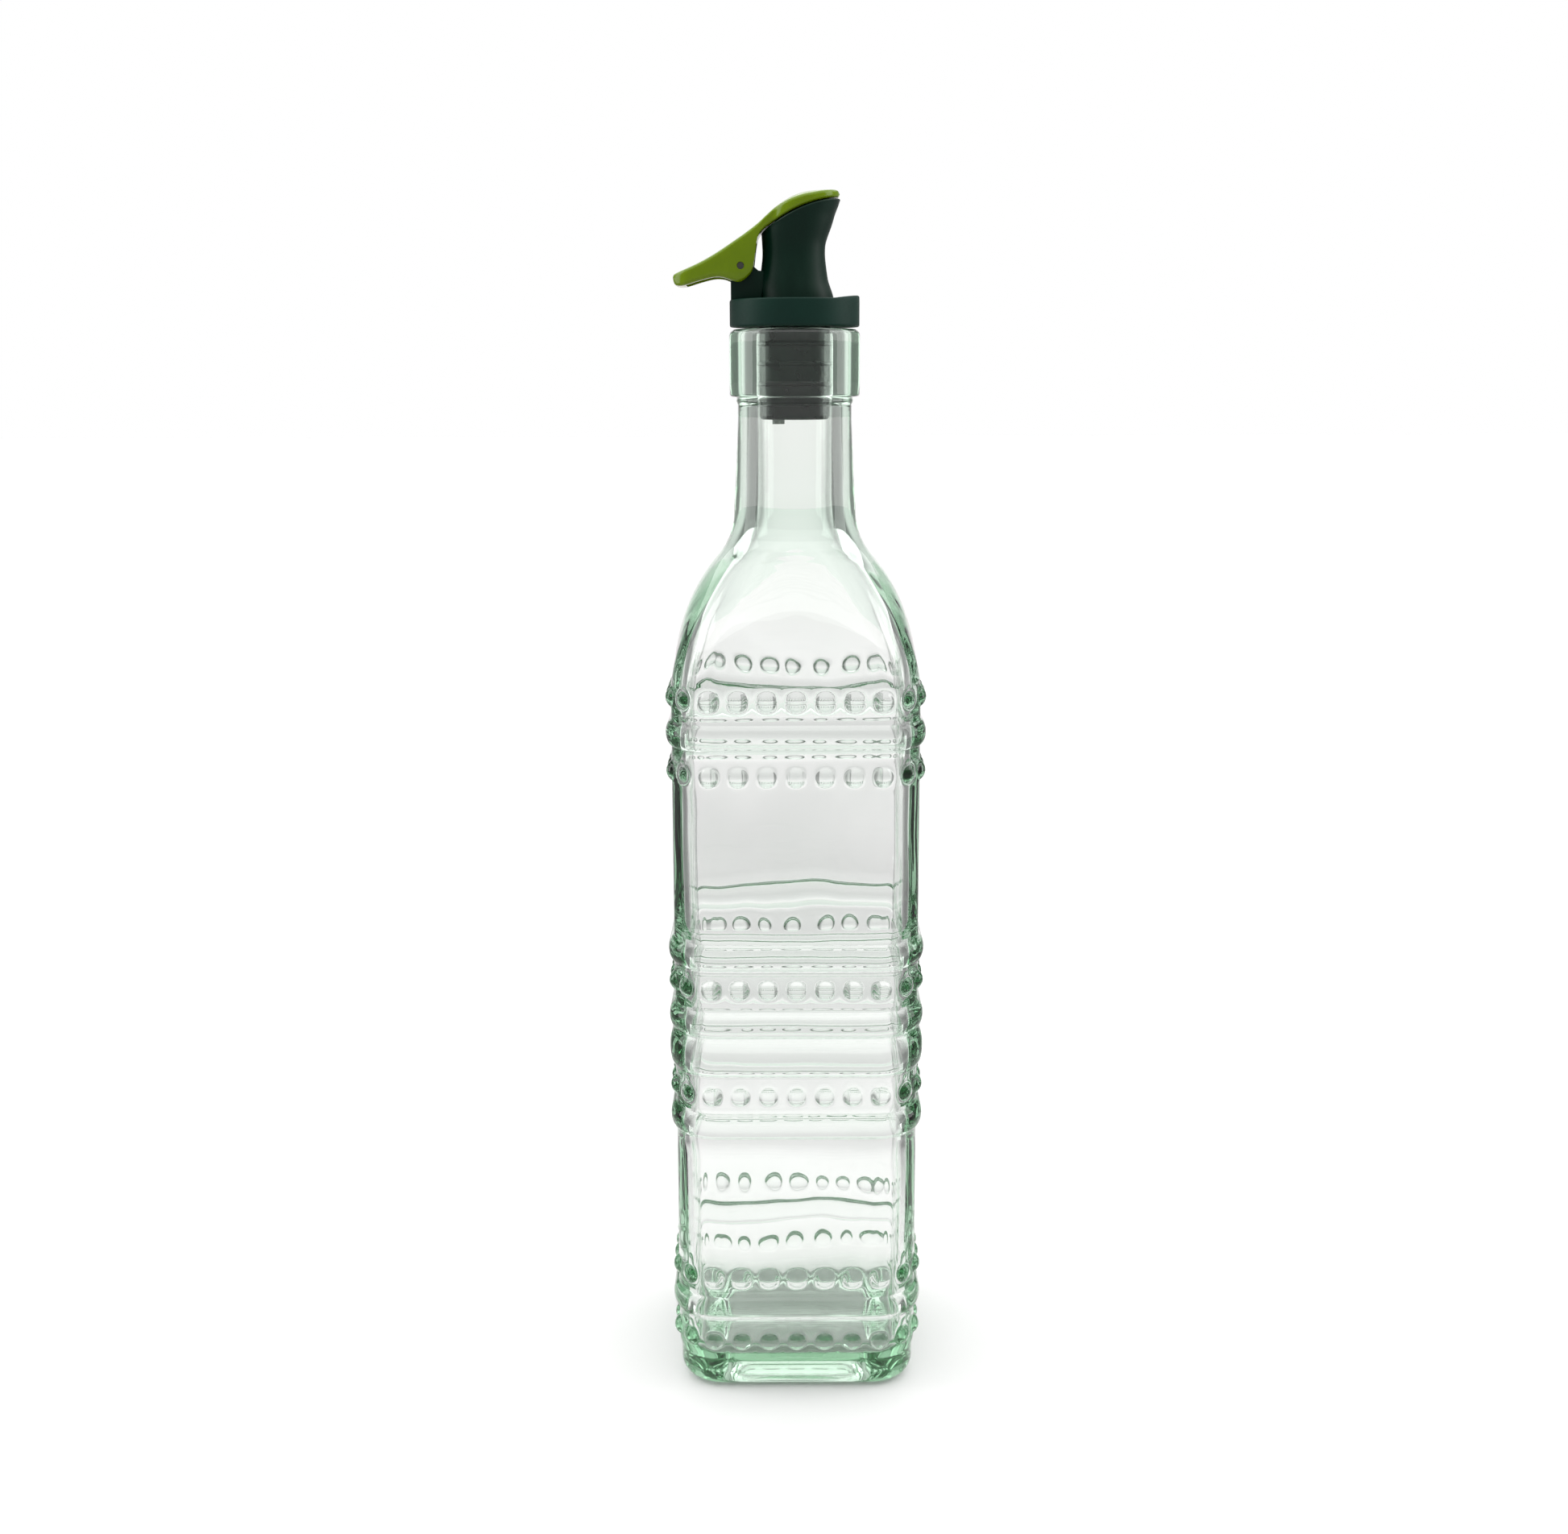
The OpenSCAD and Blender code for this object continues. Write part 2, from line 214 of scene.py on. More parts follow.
# --- Glass bottle -------------------------------------------------------------------------
# Half-litre bottle of greenish recycled glass, blown into an iron mould that gives it square
# sides, raised bands and rows of beads. The inside was never touched by a tool, so it is wavy.
body_half = 30 * mm
corner = 11 * mm
band_out = 1.38 * mm
rim_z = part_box("glass_bottle")[1].z
collar_r = 15.75 * mm
collar_z = rim_z - 15.9 * mm
step_z = collar_z - 1.7 * mm
bore_r = 9.2 * mm
wall_t = 3.9 * mm
floor_t = 7.5 * mm
punt_h = 4.0 * mm
punt_edge = 0.86
punt_slope = 0.17
foot_half = 25 * mm
foot_in = 0.5 * mm
foot_h = 9.4 * mm
heel_r = 4.5 * mm
shoulder_z = 179 * mm
shoulder_r = 44.5 * mm
fillet_r = 16 * mm
neck_r = 14.9 * mm
neck_top_r = 13.8 * mm
neck_start_z = 219 * mm
bead_rows = [z * mm for z in (176.3, 158.3, 105.6, 78.5, 30.3, 13.5)]
bands = [(z * mm, h * mm) for z, h in
         ((167.6, 6.2), (113.8, 6.5), (96.7, 6.5), (88.4, 9.4), (70.7, 6.4), (22.3, 6.1))]
beads_round = 32
bead_cells = 12
bead_ball_r = 2.95 * mm
bead_out = 1.38 * mm
bead_rings = [r * mm for r in (0, 0.8, 1.55, 2.15, 2.5, 2.85, 3.45)]
ring_squareness = (0, 0, 0, 0, 0, 0.4, 1)
cap_r = 2.45 * mm
soft_r = 2.7 * mm
soft_h = 0.07 * mm
side_len = 2 * (body_half - corner)
around = 4 * side_len + 2 * math.pi * corner


def shoulder_half(z, half, big, small, neck):
    """Half width at height z: straight wall, rounded shoulder, hollow curve, then the neck."""
    top = shoulder_z + math.sqrt((big + small) ** 2 - (neck + small + big - half) ** 2)
    join = shoulder_z + (top - shoulder_z) * big / (big + small)
    if z <= shoulder_z:
        return half
    if z <= join:
        return half - big + math.sqrt(big * big - (z - shoulder_z) ** 2)
    if z <= top:
        return neck + small - math.sqrt(small * small - (top - z) ** 2)
    return neck


def square_point(turn, half, bend):
    """Point and outward direction on a rounded square, at a part of the way round it."""
    quarter = (turn * 4) % 1.0
    straight = side_len / (side_len + math.pi / 2 * corner)
    flat = half - bend
    edge = straight / 2
    if quarter <= edge:
        x, y, a = half, flat * quarter / edge, 0.0
    elif quarter >= 1 - edge:
        x, y, a = flat * (1 - quarter) / edge, half, math.pi / 2
    else:
        a = (quarter - edge) / (1 - straight) * math.pi / 2
        x, y = flat + bend * math.cos(a), flat + bend * math.sin(a)
    spin = Matrix.Rotation(math.floor(turn * 4 + 1e-9) * math.pi / 2, 2)
    return spin @ Vector((x, y)), spin @ Vector((math.cos(a), math.sin(a)))


def glass_point(turn, z, half, bend, roundness):
    """Point and outward direction on a section that goes from the rounded square to a circle."""
    point, out_way = square_point(turn, half, bend)
    a = turn * 2 * math.pi
    ray = Vector((math.cos(a), math.sin(a)))
    point = point.lerp(ray * half, roundness)
    return Vector((point.x, point.y, z)), out_way.lerp(ray, roundness).normalized()


def roundness_at(z):
    """How far the section has gone from square to round at height z."""
    t = min(1, max(0, (z - shoulder_z + 4 * mm) / (38 * mm)))
    return t * t * (3 - 2 * t)


def band_height(z):
    """How far the bands stand out at height z: a round bulge for each."""
    for middle_z, tall in bands:
        away = abs(z - middle_z) / (tall / 2)
        if away < 1:
            power = 2.6 if tall > 8 * mm else 2.1
            return band_out * (1 - away ** power) ** 0.62
    return 0.0


def outer_rows():
    """Rows of the outer skin from the middle of the base to the rim: (kind, value, bead row)."""
    rows = [("base", s, None) for s in (0, 0.4, 0.64, 0.69, 0.735, 0.8, 0.86, 1.0)]
    rows += [("heel", a, None) for a in (18, 36, 54, 72, 90)]
    rows += [("wall", 7.4 * mm, None), ("wall", 8.6 * mm, None)]
    marks = []
    for z in bead_rows:
        marks += [(z + (r if k else 0) * s, z, k * s) for k, r in enumerate(bead_rings)
                  for s in ((1,) if k == 0 else (1, -1))]
    for z, tall in bands:
        marks += [(z + tall / 2 * p, None, 0) for p in
                  (-1.06, -0.98, -0.88, -0.65, -0.33, 0, 0.33, 0.65, 0.88, 0.98, 1.06)]
    marks += [(z * mm, None, 0) for z in (38, 46, 54, 62, 83, 101.2, 121, 131, 142, 152)]
    marks += [(shoulder_z + (1.6 + 1.9 * i) * mm, None, 0) for i in range(22)]
    rows += [("wall", *m) for m in sorted(marks, key=lambda m: m[0])]
    rows += [("neck", z, None) for z in (223 * mm, 229 * mm, 235 * mm, 241 * mm)]
    rows += [("ring", p, None) for p in
             ((neck_top_r, step_z - 0.5 * mm), (neck_top_r + 0.05 * mm, step_z - 0.1 * mm),
              (neck_top_r + 0.3 * mm, step_z + 0.25 * mm),
              (neck_top_r + 0.35 * mm, step_z + 0.9 * mm),
              (neck_top_r + 0.3 * mm, collar_z - 0.1 * mm))]
    for a in (-90, -60, -30, 0):
        rows.append(("ring", (collar_r - 0.7 * mm + 0.7 * mm * math.cos(math.radians(a)),
                              collar_z + 0.7 * mm + 0.7 * mm * math.sin(math.radians(a))), None))
    rows += [("ring", (collar_r, collar_z + h * mm), None) for h in (4, 8, 12)]
    for a in (0, 22, 45, 67, 90):
        rows.append(("ring", (collar_r - 1.5 * mm + 1.5 * mm * math.cos(math.radians(a)),
                              rim_z - 1.5 * mm + 1.5 * mm * math.sin(math.radians(a))), None))
    for a in (90, 60, 30, 0):
        rows.append(("ring", (bore_r + 0.8 * mm - 0.8 * mm * math.cos(math.radians(a)),
                              rim_z - 0.8 * mm + 0.8 * mm * math.sin(math.radians(a))), None))
    return rows


def bead_shift(column, lift):
    """Place across and up from the bead's middle, and height, for a cell of the bead's square."""
    i = (column + bead_cells // 2) % bead_cells - bead_cells // 2
    j = lift
    ring = max(abs(i), abs(j))
    if ring == 0:
        return 0.0, 0.0, bead_out
    flat = Vector((math.copysign(bead_rings[abs(i)], i), math.copysign(bead_rings[abs(j)], j)))
    circle = Vector((i, j)).normalized() * bead_rings[ring]
    place = circle.lerp(flat, ring_squareness[ring])
    away = place.length
    sink = bead_ball_r - bead_out
    cap = math.sqrt(max(0, bead_ball_r ** 2 - away ** 2)) - sink if away < cap_r else 0.0
    soft = soft_h if cap_r <= away < soft_r else 0.0
    return place.x, place.y, max(cap, soft)


columns = beads_round * bead_cells
rows = outer_rows()
skin = bmesh.new()
bmesh.ops.create_grid(skin, x_segments=columns, y_segments=len(rows) - 1, size=1)
for v in skin.verts:
    i = round((v.co.x + 1) / 2 * columns)
    j = round((v.co.y + 1) / 2 * (len(rows) - 1))
    kind, value, *rest = rows[j]
    turn = i / columns
    if kind == "base":
        dish = punt_h * min(1, max(0, punt_edge - value) / punt_slope) ** 0.9
        point, _ = glass_point(turn, dish, foot_half * value, 9 * mm * value, 0.0)
    elif kind == "heel":
        a = math.radians(value)
        grow = heel_r * math.sin(a)
        point, _ = glass_point(turn, heel_r * (1 - math.cos(a)), foot_half + grow,
                               6 * mm + grow, 0.0)
    elif kind == "ring":
        point, _ = glass_point(turn, value[1], value[0], 1 * mm, 1.0)
    elif kind == "neck":
        t = min(1, (value - neck_start_z) / (step_z - 5 * mm - neck_start_z))
        point, _ = glass_point(turn, value, neck_r + (neck_top_r - neck_r) * t, 1 * mm, 1.0)
    else:
        across, z, height = 0.0, value, band_height(value)
        if rest[0] is not None:
            across, lift, height = bead_shift(i, rest[1])
            z = rest[0] + lift
            nominal = (i + bead_cells // 2) % bead_cells - bead_cells // 2
            turn += across / around - nominal / columns
        half = shoulder_half(z, body_half, shoulder_r, fillet_r, neck_r)
        half -= foot_in * max(0, min(1, (foot_h - z) / (1.2 * mm)))
        point, out_way = glass_point(turn % 1.0, z, half, corner * half / body_half,
                                     roundness_at(z))
        point += Vector((out_way.x, out_way.y, 0)) * height
    v.co = point
bmesh.ops.remove_doubles(skin, verts=skin.verts, dist=0.002 * mm)

inner_columns = columns // 2
inner_rows = [("bore", z * mm) for z in (260, 255, 250, 245, 240, 235, 230, 226)]
inner_rows += [("wall", (shoulder_z + (44 - 2.0 * i) * mm)) for i in range(22)]
inner_rows += [("wall", (178 - 3.6 * i) * mm) for i in range(45)]
inner_rows += [("floor", a) for a in (0, 18, 36, 54, 72, 90)]
inner_rows += [("bottom", s) for s in (0.8, 0.55, 0.3, 0)]


def wave(point, turn):
    """How far the blown inside wanders from the mould's shape."""
    slow = noise.noise(Vector((point.x, point.y, point.z * 0.8)) * 45 + Vector((3, 7, 1)))
    quick = noise.noise(Vector((point.x, point.y, point.z * 0.55)) * 165 + Vector((9, 2, 5)))
    return 0.55 * mm * slow + 0.16 * mm * quick


cavity = bmesh.new()
bmesh.ops.create_grid(cavity, x_segments=inner_columns, y_segments=len(inner_rows) - 1, size=1)
in_half = body_half - wall_t
in_corner = 5 * mm
for v in cavity.verts:
    i = round((v.co.x + 1) / 2 * inner_columns)
    j = round((v.co.y + 1) / 2 * (len(inner_rows) - 1))
    kind, value = inner_rows[j]
    turn = i / inner_columns
    if kind == "bore":
        point, out_way = glass_point(turn, value, bore_r, 1 * mm, 1.0)
        ease = 0
    elif kind == "wall":
        half = shoulder_half(value, in_half, shoulder_r - wall_t, fillet_r + 4 * mm, bore_r)
        point, out_way = glass_point(turn, value, half, in_corner * half / in_half,
                                     roundness_at(value))
        ease = max(0.15, min(1, (220 * mm - value) / (25 * mm)))
    elif kind == "floor":
        a = math.radians(value)
        inset = 6 * mm * (1 - math.cos(a))
        point, out_way = glass_point(turn, floor_t + 6 * mm * (1 - math.sin(a)), in_half - inset,
                                     max(1 * mm, in_corner - inset * 0.5), 0.0)
        ease = math.cos(a)
    else:
        dome = 1.6 * mm * (1 - value ** 2)
        point, out_way = glass_point(turn, floor_t + dome, (in_half - 6 * mm) * value,
                                     (in_corner - 3 * mm) * value, 0.0)
        ease = 0
    point += Vector((out_way.x, out_way.y, 0)) * wave(point, turn) * ease
    v.co = point
bmesh.ops.remove_doubles(cavity, verts=cavity.verts, dist=0.002 * mm)

cavity_mesh = bpy.data.meshes.new("cavity")
cavity.to_mesh(cavity_mesh)
cavity.free()
skin.from_mesh(cavity_mesh)
bpy.data.meshes.remove(cavity_mesh)
open_edges = [e for e in skin.edges if e.is_boundary]
bmesh.ops.bridge_loops(skin, edges=open_edges)
bmesh.ops.recalc_face_normals(skin, faces=skin.faces)


def finished(shape, name, crease=180):
    """A mesh object at the origin made from a shape, smooth except at edges over crease degrees."""
    mesh = bpy.data.meshes.new(name)
    shape.to_mesh(mesh)
    shape.free()
    mesh.shade_smooth()
    if crease < 180:
        mesh.set_sharp_from_angle(angle=math.radians(crease))
    made = bpy.data.objects.new(name, mesh)
    scene.collection.objects.link(made)
    return made


bottle = finished(skin, "moulded_glass_bottle")

# Recycled soda-lime glass: clear in a thin wall, green where light travels a long way in it.
# The mould leaves faint ripples on the outside. The strength of the green was set in
# this light and together with the tint of the floor, so it isn't a measured one.
glass, tree, out = new_material("recycled_soda_lime_glass")
place = add_node(tree, "ShaderNodeTexCoord").outputs["Object"]
ripple = add_node(tree, "ShaderNodeTexNoise", Vector=place, Scale=1 / (9 * mm), Detail=2.0)
pucker = add_node(tree, "ShaderNodeBump", Height=ripple.outputs["Fac"], Strength=0.05,
                  Distance=0.4 * mm)
height = add_node(tree, "ShaderNodeSeparateXYZ", Vector=place).outputs["Z"]
scuffed = add_node(tree, "ShaderNodeMapRange", _0=height, _1=0.0, _2=0.15 * mm, _3=0.3, _4=0.0)
surface = add_node(tree, "ShaderNodeBsdfPrincipled", Roughness=scuffed.outputs[0], IOR=1.52,
                   Normal=pucker.outputs[0])
surface.inputs["Base Color"].default_value = linear("FFFFFF")
surface.inputs["Transmission Weight"].default_value = 1.0
green_density = 25.0
soak = add_node(tree, "ShaderNodeVolumeAbsorption", Density=green_density)
soak.inputs["Color"].default_value = linear("65CB8B")
tree.links.new(surface.outputs[0], out.inputs["Surface"])
tree.links.new(soak.outputs[0], out.inputs["Volume"])
bottle.data.materials.append(glass)
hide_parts("glass_bottle")
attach(bottle, "bottle")

# --- Stopper sleeve -----------------------------------------------------------------------
# Dark green thermoplastic rubber, moulded as a sleeve and pushed over the plug tube. Its four
# thin ribs press on the bore of the glass and hold the stopper by friction alone.
sleeve_low, sleeve_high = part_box("stopper_sleeve")
plug_r = 7 * mm
channel_r = 5.4 * mm
sleeve_r = 8.5 * mm
flange_r = 8.8 * mm
rib_r = 9.12 * mm
rib_t = 0.9 * mm
rib_pitch = 4.6 * mm


def softened(corners):
    """Outline whose corners (across, up, size) are each rounded by a short curve."""
    points = []
    for k, (x, z, size) in enumerate(corners):
        here = Vector((x, z))
        before = here + (Vector(corners[k - 1][:2]) - here).normalized() * size
        after = here + (Vector(corners[(k + 1) % len(corners)][:2]) - here).normalized() * size
        steps = (0, 0.25, 0.5, 0.75, 1) if size else (0,)
        points += [before * (1 - t) ** 2 + here * 2 * t * (1 - t) + after * t * t for t in steps]
    return points


def spun(outline, x, steps):
    """A closed outline of (radius, height) points turned once round the upright axis at x."""
    shape = bmesh.new()
    corners = [shape.verts.new((x + r, 0, z)) for r, z in outline]
    edges = [shape.edges.new(pair) for pair in zip(corners, corners[1:] + corners[:1])]
    bmesh.ops.spin(shape, geom=corners + edges, cent=(x, 0, 0), axis=(0, 0, 1),
                   angle=2 * math.pi, steps=steps, use_merge=True)
    bmesh.ops.remove_doubles(shape, verts=shape.verts, dist=0.0005 * mm)
    bmesh.ops.recalc_face_normals(shape, faces=shape.faces)
    return shape


side = [(plug_r, sleeve_low.z + 1 * mm, 0), (channel_r, sleeve_low.z + 1 * mm, 0),
        (channel_r, sleeve_low.z, 0.2 * mm), (sleeve_r - 0.5 * mm, sleeve_low.z, 0.25 * mm),
        (sleeve_r, sleeve_low.z + 0.8 * mm, 0.3 * mm)]
for k in (4, 3, 2, 1):
    foot = sleeve_high.z + 0.1 * mm - k * rib_pitch
    side += [(sleeve_r, foot, 0.15 * mm), (rib_r, foot + 0.15 * mm, 0.15 * mm),
             (rib_r, foot + rib_t - 0.2 * mm, 0.15 * mm), (sleeve_r, foot + rib_t, 0.15 * mm)]
side += [(sleeve_r, sleeve_high.z - 0.5 * mm, 0), (flange_r, sleeve_high.z - 0.5 * mm, 0.1 * mm),
         (flange_r, sleeve_high.z, 0.1 * mm), (plug_r, sleeve_high.z, 0)]
ragged = spun(softened(side), 0, 96)
for v in ragged.verts:
    turn = math.atan2(v.co.y, v.co.x)
    if v.co.z < sleeve_low.z + 0.1 * mm and v.co.xy.length > plug_r:
        v.co.z += 0.22 * mm * max(0, noise.noise(Vector((math.cos(turn), math.sin(turn), 0)) * 4))

sleeve = finished(ragged, "ribbed_rubber_sleeve", 50)

# Soft rubber from a polished mould: satin, a little lighter where it is squeezed and oily.
rubber, tree, out = new_material("moulded_tpe_rubber")
place = add_node(tree, "ShaderNodeTexCoord").outputs["Object"]
bloom = add_node(tree, "ShaderNodeTexNoise", Vector=place, Scale=1 / (4 * mm), Detail=4.0)
colour = add_node(tree, "ShaderNodeValToRGB", _0=bloom.outputs["Fac"])
colour.color_ramp.elements[0].position = 0.35
colour.color_ramp.elements[0].color = linear("14231D")
colour.color_ramp.elements[1].position = 0.7
colour.color_ramp.elements[1].color = linear("1F3128")
sheen = add_node(tree, "ShaderNodeMapRange", _0=bloom.outputs["Fac"], _1=0.3, _2=0.7, _3=0.24,
                 _4=0.36)
surface = add_node(tree, "ShaderNodeBsdfPrincipled", Base_Color=colour.outputs[0],
                   Roughness=sheen.outputs[0], IOR=1.5)
tree.links.new(surface.outputs[0], out.inputs["Surface"])
sleeve.data.materials.append(rubber)
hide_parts("stopper_sleeve")
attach(sleeve, "pourer")

# --- Drip collar --------------------------------------------------------------------------
# Thick ring of dark green polypropylene round the foot of the spout. It rests over the rim of
# the glass, and its lip on the pouring side turns drips back. It is welded to the spout.
disc_low, disc_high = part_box("drip_collar")
disc_r = 15.6 * mm
lip_h = 0.9 * mm
lip_start = 9.3 * mm
lip_end = 15 * mm
disc_top = disc_high.z - lip_h
edge = 0.55 * mm
side = [(plug_r, disc_low.z, 0), (disc_r, disc_low.z, edge), (disc_r, disc_top, edge)]
side += [(r * mm, disc_top, 0) for r in (14.2, 13.4, 12.6, 11.8, 11, 10.2, 9.4)]
side += [(plug_r, disc_top, 0)]
ring = spun(softened(side), 0, 128)
for v in ring.verts:
    if v.co.z > disc_top - edge:
        v.co.z += lip_h * max(0, min(1, (v.co.x - lip_start) / (lip_end - lip_start)))
disc = finished(ring, "drip_collar_ring", 60)

# Polypropylene from a spark-eroded mould: fine even grain, deep green, with a soft broad sheen.
matt, tree, out = new_material("grained_polypropylene")
place = add_node(tree, "ShaderNodeTexCoord").outputs["Object"]
cloud = add_node(tree, "ShaderNodeTexNoise", Vector=place, Scale=1 / (7 * mm), Detail=3.0)
grain = add_node(tree, "ShaderNodeTexNoise", Vector=place, Scale=1 / (0.22 * mm), Detail=2.0)
colour = add_node(tree, "ShaderNodeValToRGB", _0=cloud.outputs["Fac"])
colour.color_ramp.elements[0].position = 0.3
colour.color_ramp.elements[0].color = linear("032E24")
colour.color_ramp.elements[1].position = 0.75
colour.color_ramp.elements[1].color = linear("063429")
dull = add_node(tree, "ShaderNodeMapRange", _0=grain.outputs["Fac"], _1=0.3, _2=0.7, _3=0.46,
                _4=0.6)
pit = add_node(tree, "ShaderNodeBump", Height=grain.outputs["Fac"], Strength=0.35,
               Distance=0.02 * mm)
surface = add_node(tree, "ShaderNodeBsdfPrincipled", Base_Color=colour.outputs[0],
                   Roughness=dull.outputs[0], IOR=1.49, Normal=pit.outputs[0])
surface.inputs["Specular IOR Level"].default_value = 0.25
tree.links.new(surface.outputs[0], out.inputs["Surface"])
disc.data.materials.append(matt)
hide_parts("drip_collar")
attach(disc, "pourer")

# --- Spout --------------------------------------------------------------------------------
# One moulding of dark green ABS: a waisted spout with a curved oblique mouth, the bracket that
# carries the lever's pin, and the plug tube inside the rubber sleeve.
spout_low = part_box("spout_body")[0]
spout_x = 0.575 * mm
spout_h = 24 * mm
spout_wall = 1.3 * mm
hollow_up = 4 * mm
mouth_r = 40 * mm
mouth_x = 16.8 * mm
mouth_z = disc_top - 16.3 * mm
spout_side = [(0, 8.87), (2.4, 8.55), (6.4, 7.9), (9.6, 7.5), (11, 7.45), (13, 7.55), (16, 8.2),
              (19.4, 8.95), (22, 10.05), (24, 10.55)]


def spout_radius(up):
    """Outer radius of the spout at a height above the drip collar, as a smooth curve."""
    total = 0
    for shift in (-0.9, -0.45, 0, 0.45, 0.9):
        u = min(24, max(0, up / mm + shift))
        spans = zip(spout_side, spout_side[1:])
        total += next(r + (s - r) * (u - a) / (b - a) for (a, r), (b, s) in spans if u <= b)
    return total / 5 * mm


def lean(up):
    """How far the middle of the spout stands back towards the lever at a height."""
    rise = max(0, min(1, up / (5 * mm))) * max(0, min(1, (19 * mm - up) / (7 * mm)))
    return -0.75 * mm * rise * rise * (3 - 2 * rise)


def roller_z(x, extra=0):
    """Height of the mouth's curve at x: a cylinder that lies across the spout."""
    return mouth_z + math.sqrt((mouth_r + extra) ** 2 - (x - mouth_x) ** 2)


def mouth_up(facing, inset):
    """Height above the drip collar where the wall meets the mouth, for a direction round it."""
    up = 20 * mm
    for _ in range(14):
        up = roller_z(spout_x + (spout_radius(up) - inset) * facing) - disc_top
    return up


side = [Vector((spout_radius(spout_h * k / 34), disc_top + spout_h * k / 34)) for k in range(34)]
mouth_r_out = spout_radius(spout_h)
for inset, drop in ((0, 0.4), (0.08, 0.2), (0.2, 0.07), (0.4, 0), (0.9, 0), (1.1, 0.07),
                    (1.22, 0.2), (1.3, 0.4)):
    side.append(Vector((mouth_r_out - inset * mm, disc_top + spout_h - drop * mm)))
side += [Vector((spout_radius(spout_h * k / 34) - spout_wall, disc_top + spout_h * k / 34))
         for k in range(33, 5, -1)]
side += [Vector((channel_r + 0.9 * mm, disc_top + hollow_up)),
         Vector((channel_r + 0.2 * mm, disc_top + hollow_up - 0.3 * mm)),
         Vector((channel_r, disc_top + hollow_up - 0.9 * mm))]
side += [Vector((channel_r, z)) for z in (disc_top - 5 * mm, spout_low.z + 8 * mm)]
side += [Vector((channel_r, spout_low.z)), Vector((plug_r, spout_low.z)),
         Vector((plug_r, disc_top))]
horn = spun(side, spout_x, 128)
for v in horn.verts:
    up = v.co.z - disc_top
    flat = Vector((v.co.x - spout_x, v.co.y))
    inset = spout_radius(up) - flat.length
    if up > hollow_up or (up > -0.01 * mm and inset < 0.01 * mm):
        facing = flat.x / flat.length
        up = up / spout_h * mouth_up(facing, inset)
        flat = flat.normalized() * (spout_radius(up) - inset)
        v.co = (spout_x + flat.x + lean(up), flat.y, disc_top + up)
    elif flat.length < 8 * mm:
        v.co.x -= spout_x

hinge_x = -12.8 * mm
hinge_z = disc_top + 7.7 * mm
knuckle_r = 2.4 * mm
bracket_half = 3.6 * mm
round_over = 0.35 * mm


def slab(outline, low, high):
    """A plate: an outline of (x, z) points pushed from y = low to y = high."""
    shape = bmesh.new()
    face = shape.faces.new([shape.verts.new((x, low, z)) for x, z in outline])
    pushed = bmesh.ops.extrude_face_region(shape, geom=[face])["geom"]
    bmesh.ops.translate(shape, vec=(0, high - low, 0),
                        verts=[g for g in pushed if isinstance(g, bmesh.types.BMVert)])
    bmesh.ops.recalc_face_normals(shape, faces=shape.faces)
    return shape


outline = [Vector((-8 * mm, disc_top - 0.3 * mm)),
           Vector((hinge_x - knuckle_r, disc_top - 0.3 * mm))]
outline += [Vector((hinge_x - knuckle_r * math.cos(a), hinge_z + knuckle_r * math.sin(a)))
            for a in [math.pi * k / 14 for k in range(13)]]
outline += [Vector((-9.7 * mm, disc_top + 7.6 * mm)), Vector((-8.6 * mm, disc_top + 6.7 * mm)),
            Vector((-7.2 * mm, disc_top + 6.5 * mm)), Vector((-7.2 * mm, disc_top + 3 * mm))]
bracket = slab(outline, -bracket_half + round_over, bracket_half - round_over)
for cap in [f for f in bracket.faces if abs(f.normal.y) > 0.9]:
    for a, b in ((0, 30), (30, 60), (60, 90)):
        a, b = math.radians(a), math.radians(b)
        bmesh.ops.inset_region(bracket, faces=[cap], use_even_offset=True,
                               thickness=round_over * (math.cos(a) - math.cos(b)),
                               depth=round_over * (math.sin(b) - math.sin(a)))
bracket_mesh = bpy.data.meshes.new("bracket")
bracket.to_mesh(bracket_mesh)
bracket.free()
horn.from_mesh(bracket_mesh)
bpy.data.meshes.remove(bracket_mesh)
spout = finished(horn, "waisted_spout", 40)

# ABS from a lightly blasted mould: near-black green with a satin surface, smoother and darker
# than the drip collar, with faint flow marks that run up the spout.
satin, tree, out = new_material("satin_abs")
place = add_node(tree, "ShaderNodeTexCoord").outputs["Object"]
stretch = add_node(tree, "ShaderNodeMapping", Vector=place, Scale=(1, 1, 0.25))
flow = add_node(tree, "ShaderNodeTexNoise", Vector=stretch.outputs[0], Scale=1 / (3 * mm),
                Detail=3.0)
grain = add_node(tree, "ShaderNodeTexNoise", Vector=place, Scale=1 / (0.25 * mm), Detail=2.0)
colour = add_node(tree, "ShaderNodeValToRGB", _0=flow.outputs["Fac"])
colour.color_ramp.elements[0].position = 0.3
colour.color_ramp.elements[0].color = linear("02261A")
colour.color_ramp.elements[1].position = 0.75
colour.color_ramp.elements[1].color = linear("042B1E")
dull = add_node(tree, "ShaderNodeMapRange", _0=flow.outputs["Fac"], _1=0.3, _2=0.7, _3=0.4, _4=0.5)
pit = add_node(tree, "ShaderNodeBump", Height=grain.outputs["Fac"], Strength=0.25,
               Distance=0.015 * mm)
surface = add_node(tree, "ShaderNodeBsdfPrincipled", Base_Color=colour.outputs[0],
                   Roughness=dull.outputs[0], IOR=1.53, Normal=pit.outputs[0])
surface.inputs["Specular IOR Level"].default_value = 0.18
tree.links.new(surface.outputs[0], out.inputs["Surface"])
spout.data.materials.append(satin)
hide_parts("spout_body")
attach(spout, "pourer")

